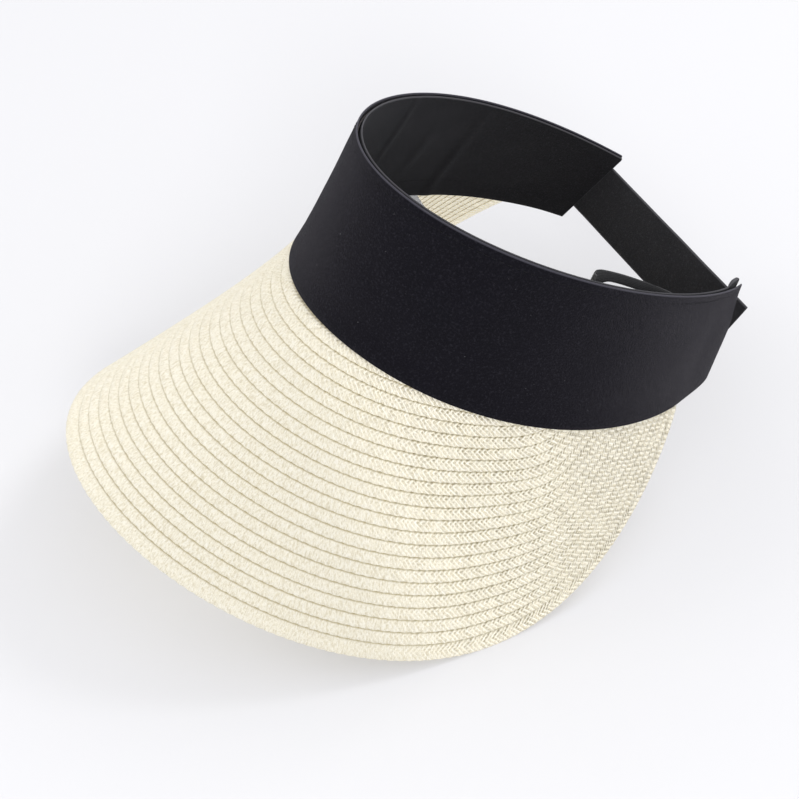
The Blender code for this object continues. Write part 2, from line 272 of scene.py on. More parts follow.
def wall_point(along, up, outward=0.0):
    """Points of the band's wall: along -1 (far end) to 1 (near end), up 0 to 1, outward in metres."""
    along, up, outward = np.broadcast_arrays(*(np.asarray(v, float) for v in (along, up, outward)))
    flare = END_FLARE * smooth(along, FLARE_FROM, 1.0) * smooth(1.0 - up, 0.02, 0.5)
    return wall_middle(along, up) + wall_normal(along, up) * (outward + flare)[..., None]


def wall_height(along):
    return np.linalg.norm(outline(UPPER_RIM, along) - outline(LOWER_RIM, along), axis=-1)


def brim_middle(along, inward):
    """Points of the brim's sheet: inward 0 (outer edge) to 1 (where the band takes it in)."""
    edge, rim = outline(BRIM_EDGE, along), outline(LOWER_RIM, along, BRIM_END_ON_RIM)
    return edge + (rim - edge) * np.asarray(inward, float)[..., None]


def brim_normal(along, inward):
    step = 0.001
    inside = np.clip(along, step - 1.0, 1.0 - step)
    around = brim_middle(inside + step, inward) - brim_middle(inside - step, inward)
    rise = brim_middle(inside, np.ones_like(inside)) - brim_middle(inside, np.zeros_like(inside))
    return unit(np.cross(around, rise))


def layer_offset(base, along, up):
    """How far a layer of the band lies from the wall's middle: further where it closes over the straw."""
    rise = 1.0 - np.clip(up / SPREAD_TOP, 0.0, 1.0)
    end = np.clip((np.abs(along) - SPREAD_ENDS[0]) / (SPREAD_ENDS[1] - SPREAD_ENDS[0]), 0.0, 1.0)
    return base + math.copysign(SPREAD, base) * rise * (1.0 - end)


def waves(along, across, scale):
    """Soft, repeatable unevenness: a few long waves laid over each other, over lengths in millimetres."""
    total = np.zeros(np.broadcast(along, across).shape)
    for turn, size, start in WAVE_SEEDS:
        ahead = along * math.cos(turn) + across * math.sin(turn)
        total = total + size * np.sin(ahead * scale / size + start)
    return total


# ---------------------------------------------------------------- how deep each point of the brim lies

EDGE_SHARES = np.linspace(-1.0, 1.0, 721)
EDGE_LINE = outline(BRIM_EDGE, EDGE_SHARES)
EDGE_WEIGHT = np.linalg.norm(np.gradient(EDGE_LINE, axis=0), axis=1)


def lapping(shares):
    """How tightly the rows lap at each share of the brim's edge, as a factor on their depth."""
    eased = smooth(np.abs(shares), *LAPPING_SPAN)
    looser = LAPPING_LOOSEST * np.clip(np.abs(shares) / LOOSEST_AT, 0.0, 1.0) ** 2
    return 1.0 + (LAPPING_TIGHTEST - 1.0) * eased - looser * (1.0 - eased)


EDGE_LAPPING = lapping(EDGE_SHARES)


def soft_distance(points):
    """A distance from the brim's edge that rounds off the corners of the rows."""
    gaps = np.linalg.norm(points[:, None, :] - EDGE_LINE[None, :, :], axis=2) * EDGE_LAPPING + 1e-4
    near = (EDGE_WEIGHT * gaps**-CORNER_SHARPNESS).sum(axis=1) / EDGE_WEIGHT.sum()
    return near ** (-1.0 / (CORNER_SHARPNESS - 1.0))


def depth_table():
    """Stations along the brim, shares across it, and the depth of each point of that grid."""
    stations = np.linspace(-1.0, 1.0, 361)
    shares = np.linspace(0.0, 1.0, 41)
    front = brim_middle(np.zeros(61), np.linspace(0.0, 1.0, 61))
    soft, true = soft_distance(front), np.linalg.norm(front - front[0], axis=1)
    lines = [brim_middle(np.full(len(shares), station), shares) for station in stations]
    depths = np.array([np.interp(soft_distance(line), soft, true) for line in lines])
    depths[:, 0] = 0.0
    return stations, shares, np.maximum.accumulate(depths, axis=1)


STATIONS, SHARES, DEPTHS = depth_table()
RIM_DEPTH = DEPTHS[:, -1]


def inward_share(stations, depth):
    """The share across the brim at which this depth lies, a little past 1 where it is deeper than the rim."""
    slope = (SHARES[-1] - SHARES[-2]) / np.maximum(DEPTHS[:, -1] - DEPTHS[:, -2], 1e-5)
    past = 1.0 + (depth - RIM_DEPTH) * slope
    found = np.array([np.interp(depth, row, SHARES) for row in DEPTHS])
    found = np.where(depth > RIM_DEPTH, past, found)
    return np.interp(stations, STATIONS, found)


def row_reach(outer):
    """The stations, far side and near side, at which the band cuts this row off."""
    open_part = STATIONS[RIM_DEPTH + RIM_TUCK - outer > ROW_TIP_WIDTH]
    return open_part[0], open_part[-1]


# ---------------------------------------------------------------- meshes


def make_object(name, points, faces, look, fibres=None, smooth_shading=True):
    """A mesh object; fibres hold each point's place along and across the weave, and one more value."""
    mesh = bpy.data.meshes.new(name)
    mesh.from_pydata([tuple(p) for p in points], [], faces)
    mesh.validate()
    if fibres is not None:
        layer = mesh.attributes.new("fibre", "FLOAT_VECTOR", "POINT")
        layer.data.foreach_set("vector", np.asarray(fibres, np.float32).ravel())
    if smooth_shading:
        mesh.shade_smooth()
    item = bpy.data.objects.new(name, mesh)
    bpy.context.scene.collection.objects.link(item)
    item.data.materials.append(look)
    return item


def swept(name, rings, fibres, look):
    """A closed skin over equal rings of points, with both ends filled."""
    count, around = rings.shape[:2]
    a = np.arange(count - 1)[:, None] * around
    b = np.arange(around)[None, :]
    nxt = (b + 1) % around
    quads = np.stack([a + b, a + nxt, a + around + nxt, a + around + b], -1).reshape(-1, 4)
    faces = [tuple(q) for q in quads.tolist()]
    faces.append(tuple(range(around - 1, -1, -1)))
    last = (count - 1) * around
    faces.append(tuple(range(last, last + around)))
    return make_object(name, rings.reshape(-1, 3), faces, look, fibres.reshape(-1, 3))


def rounded_section(steps, cap=3):
    """A thin strip's cross-section: up one face, round its edge, down the other face and round again.

    Each row is the share across the strip, the height over its middle and the bulge past its edge, both in
    half thicknesses.
    """
    shares = np.linspace(0.0, 1.0, steps)
    turns = np.linspace(0.0, math.pi, cap + 2)[1:-1]
    face = [(share, 1.0, 0.0) for share in shares]
    far = [(1.0, math.cos(turn), math.sin(turn)) for turn in turns]
    back = [(share, -1.0, 0.0) for share in shares[::-1]]
    near = [(0.0, -math.cos(turn), -math.sin(turn)) for turn in turns]
    return np.array(face + far + back + near)


# ---------------------------------------------------------------- braid rows


def strand_ridge(s, t):
    """Rounded strands that run to a fold line and back, 0 in the gaps and 1 on the crests."""
    phase = (s - np.abs(t - PLAIT_FOLD)) / STRAND_PITCH
    share = phase - np.floor(phase)
    return 1.0 - (2.0 * share - 1.0) ** 2


def depth_share(stations, depths):
    """Share across the brim for each station and its own depth, read from the depth table."""
    place = np.interp(stations, STATIONS, np.arange(len(STATIONS)))
    low = np.clip(place.astype(int), 0, len(STATIONS) - 2)
    part = place - low
    rows = DEPTHS[low] * (1 - part)[:, None] + DEPTHS[low + 1] * part[:, None]
    cell = np.clip((rows <= depths[:, None]).sum(axis=1) - 1, 0, len(SHARES) - 2)
    pick = np.arange(len(stations))
    start, end = rows[pick, cell], rows[pick, cell + 1]
    return SHARES[cell] + (depths - start) / np.maximum(end - start, 1e-5) * (SHARES[1] - SHARES[0])


def braid_row(index, look):
    """One row of braid, from the far to the near place where the band cuts it off."""
    outer = 0.0 if index == 0 else EDGE_ROW_WIDTH + (index - 1) * ROW_PITCH
    pitch = EDGE_ROW_WIDTH if index == 0 else ROW_PITCH
    width = pitch + ROW_OVERLAP
    top = (BRAID_THICKNESS + ROW_CLEARANCE) * (1.0 + ROW_OVERLAP / ROW_PITCH) / 2.0
    far, near = row_reach(outer)
    coarse = np.linspace(far, near, 900)
    arc = arc_lengths(brim_middle(coarse, inward_share(coarse, outer)))
    count = max(int(arc[-1] / ALONG_STEP), 12)
    s = np.linspace(0.0, arc[-1], count)
    stations = np.interp(s, arc, coarse)
    section = rounded_section(ACROSS_STEPS)
    rim = np.interp(stations, STATIONS, RIM_DEPTH)
    room = np.minimum(width, rim + RIM_TUCK - outer)
    s = s + index * ROW_PHASE_STEP * STRAND_PITCH
    rings = np.empty((count, len(section), 3))
    fibres = np.empty_like(rings)
    for column, (share, height, bulge) in enumerate(section):
        t = share * room
        ridge = strand_ridge(s, t)
        scallop = SCALLOP * (strand_ridge(s / 2.0, PLAIT_FOLD) - 0.5)
        scallop = scallop * (1.0 - share) * (share < SCALLOP_REACH)
        inward = depth_share(stations, outer + t - scallop + bulge * BRAID_THICKNESS * EDGE_BULGE)
        slant = top * (1.0 - 2.0 * t / width)
        half = BRAID_THICKNESS / 2.0 * height
        crown = CROWN_RELIEF * (1.0 - (2.0 * np.minimum(t / pitch, 1.0) - 1.0) ** 2) - CROWN_RELIEF * 0.5
        relief = STRAND_RELIEF * (2.0 * ridge - 1.0)
        side = np.sign(height) * min(abs(height), 1.0) * (UNDERSIDE_RELIEF if height < 0 else 1.0)
        lift = slant + half + (crown + relief) * side
        rings[:, column] = brim_middle(stations, inward) + brim_normal(stations, inward) * lift[:, None]
        fibres[:, column] = np.stack([s, t, np.full(count, float(index))], -1)
    name = "straw_edge_row" if index == 0 else f"straw_row_{index:02d}"
    return swept(name, rings, fibres, look)


# ---------------------------------------------------------------- node helpers


def new_material(name):
    made = bpy.data.materials.new(name)
    made.use_nodes = True
    return made, made.node_tree, made.node_tree.nodes["Principled BSDF"]


def socket_from(tree, value, target):
    """Sets a socket to a number or links it to another socket."""
    if isinstance(value, (int, float)):
        target.default_value = value
    else:
        tree.links.new(value, target)


def math_node(tree, operation, first, second=0.0):
    node = tree.nodes.new("ShaderNodeMath")
    node.operation = operation
    socket_from(tree, first, node.inputs[0])
    socket_from(tree, second, node.inputs[1])
    return node.outputs[0]


def plus(tree, first, second):
    return math_node(tree, "ADD", first, second)


def minus(tree, first, second):
    return math_node(tree, "SUBTRACT", first, second)


def times(tree, first, *others):
    for other in others:
        first = math_node(tree, "MULTIPLY", first, other)
    return first


def from_middle(tree, phase):
    """How far a phase is from the middle of its turn, 0 to 0.5."""
    return math_node(tree, "ABSOLUTE", minus(tree, math_node(tree, "FRACT", phase), 0.5))


def ramp(tree, value, low, high, start=0.0, end=1.0):
    """Runs smoothly from start to end as value goes from low to high."""
    node = tree.nodes.new("ShaderNodeMapRange")
    node.interpolation_type = "SMOOTHSTEP"
    for socket, number in zip(node.inputs[1:5], (low, high, start, end)):
        socket.default_value = number
    tree.links.new(value, node.inputs[0])
    return node.outputs[0]


def noise(tree, scale, detail=2.0, vector=None, roughness=0.5):
    node = tree.nodes.new("ShaderNodeTexNoise")
    node.inputs["Scale"].default_value = scale
    node.inputs["Detail"].default_value = detail
    node.inputs["Roughness"].default_value = roughness
    tree.links.new(vector or object_coordinates(tree), node.inputs["Vector"])
    return node.outputs["Fac"]


def object_coordinates(tree):
    return tree.nodes.new("ShaderNodeTexCoord").outputs["Object"]


def mix_colour(tree, share, first, second):
    node = tree.nodes.new("ShaderNodeMix")
    node.data_type = "RGBA"
    socket_from(tree, share, node.inputs[0])
    for value, target in ((first, node.inputs[6]), (second, node.inputs[7])):
        if isinstance(value, tuple):
            target.default_value = (*value, 1.0)
        else:
            tree.links.new(value, target)
    return node.outputs[2]


def cell_noise(tree, vector):
    node = tree.nodes.new("ShaderNodeTexWhiteNoise")
    node.noise_dimensions = "3D"
    tree.links.new(vector, node.inputs["Vector"])
    return node.outputs["Value"]


def bump(tree, height, distance, strength=1.0):
    node = tree.nodes.new("ShaderNodeBump")
    node.inputs["Distance"].default_value = distance
    node.inputs["Strength"].default_value = strength
    tree.links.new(height, node.inputs["Height"])
    return node.outputs["Normal"]


def let_light_through(tree, shader, colour, share):
    """Thin paper glows a little when it is lit from behind."""
    glow = tree.nodes.new("ShaderNodeBsdfTranslucent")
    tree.links.new(colour, glow.inputs["Color"])
    mix = tree.nodes.new("ShaderNodeMixShader")
    mix.inputs[0].default_value = share
    tree.links.new(shader.outputs[0], mix.inputs[1])
    tree.links.new(glow.outputs[0], mix.inputs[2])
    tree.links.new(mix.outputs[0], tree.nodes["Material Output"].inputs["Surface"])


def combine(tree, x, y, z):
    node = tree.nodes.new("ShaderNodeCombineXYZ")
    for value, target in zip((x, y, z), node.inputs):
        socket_from(tree, value, target)
    return node.outputs[0]


def separate(tree, vector):
    split = tree.nodes.new("ShaderNodeSeparateXYZ")
    tree.links.new(vector, split.inputs[0])
    return split.outputs


def fibre_axes(tree):
    """Along the weave, across it, and the row's number or how pale the cloth's edge is, as stored on the
    mesh.
    """
    read = tree.nodes.new("ShaderNodeAttribute")
    read.attribute_name = "fibre"
    return separate(tree, read.outputs["Vector"])


# ---------------------------------------------------------------- materials


def straw_places(tree):
    """Where the weave opens (toward the sides), the point's own place, and which faces look down."""
    place = separate(tree, object_coordinates(tree))
    opened = ramp(tree, place["Y"], -0.070, 0.010, 0.10, 1.0)
    opened = times(tree, opened, ramp(tree, place["X"], -0.10, 0.0, 0.45, 1.0))
    facing = separate(tree, tree.nodes.new("ShaderNodeNewGeometry").outputs["True Normal"])
    return opened, place, ramp(tree, facing["Z"], 0.10, -0.25)


def groove_shade_weight(tree, across, row, place, underside):
    """Painted shade in a line along each row where the next row in lies over it, none on faces that look
    down.
    """
    first_row = math_node(tree, "LESS_THAN", row, 0.5)
    to_groove = minus(tree, across, times(tree, first_row, EDGE_ROW_WIDTH - ROW_PITCH))
    groove = ramp(tree, to_groove, ROW_PITCH - 0.0013, ROW_PITCH - 0.0003, 0.0, 0.9)
    groove = times(tree, groove, minus(tree, 1.0, underside))
    groove = times(tree, groove, ramp(tree, place["X"], -0.05, 0.05, 0.35, 1.0))
    return times(tree, groove, ramp(tree, place["Y"], -0.01, 0.05, 1.0, 0.6))


def straw_material():
    """Plaited paper straw: strands that turn back at a fold line, with gaps, painted glints, painted shade
    over the front and in the groove, and a painted glow underneath.
    """
    made, tree, shader = new_material("straw_braid")
    along, across, row = fibre_axes(tree)
    stretched = combine(tree, along, times(tree, across, 0.30), times(tree, row, 0.013))
    ticks = noise(tree, 1750.0, 2.0, stretched)
    wide = noise(tree, 38.0, 3.0)
    fine = noise(tree, 2300.0, 2.0)

    along = plus(tree, along, times(tree, minus(tree, noise(tree, 150.0, 3.0), 0.5), 0.0030))
    fold = math_node(tree, "ABSOLUTE", minus(tree, across, PLAIT_FOLD))
    phase = math_node(tree, "DIVIDE", minus(tree, along, fold), STRAND_PITCH)
    back_phase = math_node(tree, "DIVIDE", plus(tree, along, fold), STRAND_PITCH)
    strand = math_node(tree, "FLOOR", plus(tree, phase, 0.5))
    off_crest = from_middle(tree, phase)
    crossing = from_middle(tree, back_phase)
    chance = cell_noise(tree, combine(tree, strand, row, 0.0))
    cell = cell_noise(tree, combine(tree, strand, row, math_node(tree, "FLOOR", back_phase)))
    opened, place, underside = straw_places(tree)

    # The paper's own tones and its fine dark and pale ticks, then painted shade over the front.
    strand_tone = times(tree, cell, ramp(tree, opened, 0.0, 1.0, 0.4, 1.0))
    colour = mix_colour(tree, strand_tone, STRAW_LIGHT, STRAW_WARM)
    colour = mix_colour(tree, ramp(tree, wide, 0.35, 0.7, 0.0, 0.15), colour, STRAW_PALE)
    colour = mix_colour(tree, ramp(tree, fine, 0.30, 0.58, 0.45, 0.0), colour, STRAW_DEEP)
    ticks_shown = ramp(tree, opened, 0.0, 1.0, 0.52, 0.30)
    dark_ticks = times(tree, ramp(tree, ticks, 0.30, 0.52, 1.0, 0.0), ticks_shown)
    colour = mix_colour(tree, dark_ticks, colour, STRAW_DEEP)
    colour = mix_colour(tree, ramp(tree, ticks, 0.52, 0.68, 0.0, 0.6), colour, STRAW_PALE)
    # Painted shade: over the front, where the weave is closed, the straw is darkened toward black, more on
    # the near side.
    front_painted_shade = ramp(tree, place["X"], -0.06, 0.06, STRAW_FRONT_PAINTED_SHADE * 0.5, STRAW_FRONT_PAINTED_SHADE)
    front_painted_shade = times(tree, front_painted_shade, ramp(tree, opened, 0.0, 1.0, 1.0, 0.0))
    colour = mix_colour(tree, front_painted_shade, colour, (0.0, 0.0, 0.0))

    # Painted glints on the crests, painted shade in the slits between the strands and in the groove beside
    # the next row.
    glint = times(tree, ramp(tree, off_crest, 0.22, 0.05), ramp(tree, cell, 0.3, 0.9))
    colour = mix_colour(tree, times(tree, glint, opened), colour, STRAW_PALE)
    gap = times(tree, ramp(tree, off_crest, 0.22, 0.44), ramp(tree, chance, 0.1, 0.8, 0.25, 1.0))
    zone = ramp(tree, across, 0.0010, 0.0042, 0.35, 1.0)
    knot = ramp(tree, crossing, 0.12, 0.42, 0.15, 1.0)
    slit = times(tree, gap, times(tree, zone, knot), opened)
    colour = mix_colour(tree, slit, colour, STRAW_SHADE)
    # Painted shade in the groove where the next row in lies over this one.
    groove = groove_shade_weight(tree, across, row, place, underside)
    colour = mix_colour(tree, groove, colour, STRAW_GROOVE_SHADE)
    tree.links.new(colour, shader.inputs["Base Color"])

    height = minus(tree, ramp(tree, off_crest, 0.5, 0.08), times(tree, slit, 0.9))
    height = plus(tree, height, times(tree, cell, 0.35))
    height = plus(tree, height, times(tree, ramp(tree, crossing, 0.1, 0.5), -0.4))
    height = times(tree, height, ramp(tree, opened, 0.0, 1.0, 0.12, 1.0))
    height = plus(tree, height, times(tree, fine, 0.35))
    height = plus(tree, height, times(tree, ticks, 0.75))
    tree.links.new(bump(tree, height, 0.00062), shader.inputs["Normal"])
    tree.links.new(ramp(tree, fine, 0.2, 0.8, 0.50, 0.72), shader.inputs["Roughness"])
    shader.inputs["Specular IOR Level"].default_value = 0.3
    # Painted glow: faces that look down give off light in the straw's own colour, standing in for light that
    # comes through the gaps.
    tree.links.new(colour, shader.inputs["Emission Color"])
    tree.links.new(times(tree, underside, STRAW_PAINTED_GLOW), shader.inputs["Emission Strength"])
    let_light_through(tree, shader, colour, STRAW_LETS_THROUGH)
    return made


def cloth_material(
    name, colour, thread_pitch, roughness, sheen, sheen_tint=NEUTRAL_SHEEN, lint=0.0, gloss=0.25
):
    """Woven cloth: crossing threads, a fuzzy grain whose pale specks carry painted sheen, slow changes of
    tone, paler edges and specks of lint.
    """
    made, tree, shader = new_material(name)
    along, across, pale_edge = fibre_axes(tree)
    turn = 2.0 * math.pi / thread_pitch
    warp = math_node(tree, "SINE", times(tree, along, turn))
    weft = math_node(tree, "SINE", times(tree, across, turn))
    weave = times(tree, warp, weft)
    slow = noise(tree, 60.0, 4.0)
    fine = noise(tree, 1800.0, 2.0)
    grain = noise(tree, 1050.0, 3.0, roughness=0.7)
    lighter = tuple(min(1.0, c * 2.2 + 0.001) for c in colour)
    darker = tuple(c * 0.55 for c in colour)
    # Pale specks of the grain, lightened in step with the sheen: partly the cotton's fuzz, partly painted
    # sheen.
    fuzz_and_sheen = tuple(min(1.0, c + sheen * 0.055) for c in lighter)
    edge = tuple(min(1.0, c * 6.0 + 0.036) for c in colour)

    tone = mix_colour(tree, ramp(tree, slow, 0.3, 0.7, 0.6, 1.0), darker, colour)
    tone = mix_colour(tree, ramp(tree, grain, 0.50, 0.72, 0.0, 0.9), tone, fuzz_and_sheen)
    tone = mix_colour(tree, ramp(tree, grain, 0.48, 0.30, 0.0, 0.9), tone, darker)
    tone = mix_colour(tree, ramp(tree, weave, -1.0, 1.0, 0.0, 0.3), tone, lighter)
    tone = mix_colour(tree, ramp(tree, pale_edge, 0.72, 1.0, 0.0, 0.8), tone, edge)
    if lint:
        specks = noise(tree, 900.0, 1.0)
        tone = mix_colour(tree, ramp(tree, specks, 0.80, 0.84, 0.0, lint), tone, LINT_COLOUR)
    tree.links.new(tone, shader.inputs["Base Color"])

    height = plus(tree, plus(tree, times(tree, weave, 0.5), fine), grain)
    tree.links.new(bump(tree, height, 0.00016, 0.9), shader.inputs["Normal"])
    uneven = ramp(tree, fine, 0.2, 0.8, roughness - 0.06, roughness + 0.06)
    tree.links.new(uneven, shader.inputs["Roughness"])
    shader.inputs["Sheen Weight"].default_value = sheen
    shader.inputs["Sheen Roughness"].default_value = 0.45
    shader.inputs["Sheen Tint"].default_value = (*sheen_tint, 1.0)
    shader.inputs["Specular IOR Level"].default_value = gloss
    return made


def ribbed_material(name, colour, rib_pitch):
    """Elastic: ribs across the ribbon with a rubbery gleam between them."""
    made, tree, shader = new_material(name)
    along, across, _ = fibre_axes(tree)
    ribs = math_node(tree, "SINE", times(tree, across, 2.0 * math.pi / rib_pitch))
    knit = math_node(tree, "SINE", times(tree, along, 2.0 * math.pi / (rib_pitch * 0.7)))
    fine = noise(tree, 2200.0, 2.0)
    lighter = tuple(c * 1.6 + 0.002 for c in colour)
    tone = mix_colour(tree, ramp(tree, ribs, -1.0, 1.0), colour, lighter)
    tree.links.new(tone, shader.inputs["Base Color"])
    height = plus(tree, ribs, times(tree, knit, ribs, 0.4))
    height = plus(tree, height, fine)
    tree.links.new(bump(tree, height, 0.00005, 0.6), shader.inputs["Normal"])
    tree.links.new(ramp(tree, fine, 0.2, 0.8, 0.5, 0.7), shader.inputs["Roughness"])
    shader.inputs["Sheen Weight"].default_value = 0.05
    return made


def pile_material(name, colour, scale):
    """Hooks or loops: a dense random nap."""
    made, tree, shader = new_material(name)
    cells = tree.nodes.new("ShaderNodeTexVoronoi")
    cells.inputs["Scale"].default_value = scale
    tree.links.new(object_coordinates(tree), cells.inputs["Vector"])
    fine = noise(tree, scale * 1.7, 2.0)
    lighter = tuple(c * 2.5 + 0.01 for c in colour)
    tree.links.new(mix_colour(tree, fine, colour, lighter), shader.inputs["Base Color"])
    height = minus(tree, fine, cells.outputs["Distance"])
    tree.links.new(bump(tree, height, PILE_DEPTH), shader.inputs["Normal"])
    tree.links.new(ramp(tree, fine, 0.2, 0.8, 0.55, 0.8), shader.inputs["Roughness"])
    return made


LOOKS = {  # for cloth: name, colour, thread pitch, roughness and sheen
    "straw": straw_material(),
    "cotton": cloth_material(
        "band_cotton", (0.0032, 0.0030, 0.0050), 0.00052, 0.9, 0.105, (0.76, 0.73, 0.80), 0.25, 0.04
    ),
    "lining_cotton": cloth_material(
        "lining_cotton", (0.0040, 0.0038, 0.0048), 0.00060, 0.9, 0.06, lint=0.2, gloss=0.14
    ),
    "strap_cloth": cloth_material("strap_cotton", (0.0085, 0.0082, 0.0098), 0.00045, 0.8, 0.07, gloss=0.20),
    "interlining": cloth_material("felt_interlining", (0.04, 0.035, 0.035), 0.0012, 0.92, 0.05),
    "thread": cloth_material("sewing_thread", (0.0045, 0.0044, 0.0055), 0.00030, 0.7, 0.04, gloss=0.10),
    "elastic": ribbed_material("elastic_ribbon", (0.006, 0.006, 0.0075), 0.0009),
    "hook_nylon": pile_material("hook_tape_nylon", (0.012, 0.012, 0.014), 900.0),
    "loop_nylon": pile_material("loop_tape_nylon", (0.016, 0.016, 0.018), 1500.0),
    "label_satin": cloth_material("label_satin", (0.80, 0.80, 0.82), 0.00035, 0.45, 0.1, (1.0, 1.0, 1.0)),
}


# ---------------------------------------------------------------- straw brim


def make_brim():
    for index in range(ROW_COUNT):
        row = braid_row(index, LOOKS["straw"])
        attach(row, "visor")
        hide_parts("edge_braid_row" if index == 0 else f"braid_row_{index:02d}")


# ---------------------------------------------------------------- band


def round_off(to_end, radius):
    """How far an edge drops within radius of an end, so that its corner comes out round."""
    inside = np.clip(1.0 - to_end / radius, 0.0, 1.0)
    return radius * (1.0 - np.sqrt(np.clip(1.0 - inside**2, 0.0, 1.0)))


def end_fold(along):
    """The lining's end stands up a little where it is folded over."""
    middle, half, height = END_FOLD
    return height * np.clip(1.0 - np.abs((along - middle) / half) ** 3, 0.0, 1.0) ** 0.7


def wrinkle(along, up):
    """A few soft slanting folds of the lining."""
    total = 0.0
    for at, height, width, lean, reach in WRINKLES:
        line = at + (up - height) * lean * 0.06
        total = total + np.exp(-(((along - line) / width) ** 2) - ((up - height) / reach) ** 2)
    return total


def band_sheet(name, offset, hem, look, unevenness):
    """One layer of the band, with rounded edges and the soft unevenness of cloth over its stiffener."""
    section = rounded_section(34, 4)
    along = np.linspace(-1.0, 1.0, 520)
    near_end = 1.0 - np.linspace(0.0005, 0.03, 24)
    far_end = np.linspace(0.0005, 0.02, 16) - 1.0
    along = np.sort(np.concatenate([along, near_end, far_end]))
    steps = len(along)
    half = LAYER_THICKNESS / 2.0
    tall = wall_height(along)
    is_lining = offset < 0
    folded = end_fold(along) if is_lining else np.zeros(steps)
    arc = arc_lengths(wall_point(along, 0.5))
    to_end = np.minimum(arc, arc[-1] - arc)
    rings = np.empty((steps, len(section), 3))
    fibres = np.empty_like(rings)
    for column, (share, height, bulge) in enumerate(section):
        up = hem + (1.0 - hem) * share
        rounding = round_off(to_end, CORNER_ROUND) * smooth(share, 0.8, 1.0)
        ups = up + (bulge * half - rounding + folded * smooth(share, 0.86, 1.0)) / tall
        wave = waves(arc * 1000.0, up * tall * 1000.0, 0.09) * unevenness
        wave = wave * smooth(up, 0.02, 0.3) * smooth(1.0 - up, 0.0, 0.12)
        wave = wave * smooth(1.0 - np.abs(along), 0.0, 0.06)
        if is_lining:
            wave = wave - WRINKLE_DEPTH * wrinkle(along, up)
        thick = half * (1.0 + 1.3 * folded / END_FOLD[2] * smooth(share, 0.9, 1.0))
        outward = layer_offset(offset, along, np.full(steps, up)) + thick * height + wave
        rings[:, column] = wall_point(along, ups, outward)
        pale_top = 1.0 - smooth((1.0 - share) * tall, 0.0, PALE_EDGE_WIDTH)
        pale_ends = 1.0 - smooth(to_end, 0.0, PALE_EDGE_WIDTH)
        fibres[:, column] = np.stack([arc, up * tall, np.maximum(pale_top, pale_ends)], -1)
    item = swept(name, rings, fibres, look)
    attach(item, "visor")
    return item


def patch_sheet(name, area, outward, thickness, look, steps, rows):
    """A thin patch on the band's wall with rounded edges and corners."""
    along_span, up_span, corner = area
    section = rounded_section(rows)
    along = np.linspace(*along_span, steps)
    half = thickness / 2.0
    tall = wall_height(along)
    arc = arc_lengths(wall_point(along, 0.5))
    to_end = np.minimum(arc, arc[-1] - arc)
    middle = sum(up_span) / 2.0
    span = (up_span[1] - up_span[0]) / 2.0
    shrink = round_off(to_end, corner) / tall if corner else np.zeros(steps)
    edge_round = np.sqrt(np.clip(to_end / half, 0.02, 1.0))
    rings = np.empty((steps, len(section), 3))
    fibres = np.empty_like(rings)
    for column, (share, height, bulge) in enumerate(section):
        ups = middle + (2.0 * share - 1.0) * np.maximum(span - shrink, 0.01) + bulge * half / tall
        rings[:, column] = wall_point(along, ups, outward + half * height * edge_round)
        fibres[:, column] = np.stack([arc, ups * tall, np.zeros(steps)], -1)
    item = swept(name, rings, fibres, look)
    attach(item, "visor")
    return item


def make_band():
    cover = band_sheet("band_cover_cloth", COVER_OFFSET, COVER_HEM, LOOKS["cotton"], COVER_UNEVENNESS)
    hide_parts("band_cover")
    lining = band_sheet(
        "band_lining_cloth", LINING_OFFSET, LINING_HEM, LOOKS["lining_cotton"], LINING_UNEVENNESS
    )
    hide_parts("band_lining")
    thick = INNER_LAYER_THICKNESS
    stiff = patch_sheet("band_interlining", INTERLINING_AREA, 0.0, thick, LOOKS["interlining"], 180, 12)
    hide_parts("band_stiffener")
    tape = patch_sheet("brim_joining_tape", TAPE_AREA, 0.0, thick, LOOKS["lining_cotton"], 160, 5)
    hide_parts("joining_tape")
    thick = PILE_THICKNESS
    pile = patch_sheet("loop_tape_pile", PILE_AREA, PILE_OFFSET, thick, LOOKS["loop_nylon"], 40, 16)
    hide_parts("loop_tape")


# ---------------------------------------------------------------- stitches


def stitch_run(name, path, outward, size):
    """Single stitches along a line: each dips into the cloth at both ends."""
    length, gap, radius = size
    arc = arc_lengths(path)
    starts = np.arange(gap, arc[-1] - length, length + gap)
    turns = np.linspace(0.0, 2.0 * math.pi, STITCH_SIDES + 1)[:-1]
    shares = np.linspace(0.0, 1.0, STITCH_RINGS)
    points, faces, fibres = [], [], []
    for start in starts:
        base = len(points)
        spots = np.stack([np.interp(start + shares * length, arc, path[:, k]) for k in range(3)], -1)
        sides = np.stack([np.interp(start + shares * length, arc, outward[:, k]) for k in range(3)], -1)
        ahead = unit(spots[-1] - spots[0])
        for share, spot, side in zip(shares, spots, sides):
            arch = math.sin(math.pi * share)
            thick = radius * (0.55 + 0.45 * arch)
            across = unit(np.cross(ahead, side))
            middle = spot + side * radius * (arch * 0.9 - 0.6)
            for turn in turns:
                points.append(middle + (across * math.cos(turn) + side * math.sin(turn)) * thick)
                fibres.append((start + share * length, turn * radius, 0.0))
        for ring in range(STITCH_RINGS - 1):
            low = base + ring * STITCH_SIDES
            for k in range(STITCH_SIDES):
                a, b = low + k, low + (k + 1) % STITCH_SIDES
                faces.append((a, b, b + STITCH_SIDES, a + STITCH_SIDES))
        last = base + (STITCH_RINGS - 1) * STITCH_SIDES
        faces.append(tuple(base + k for k in reversed(range(STITCH_SIDES))))
        faces.append(tuple(last + k for k in range(STITCH_SIDES)))
    item = make_object(name, points, faces, LOOKS["thread"], fibres)
    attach(item, "visor")
    return item


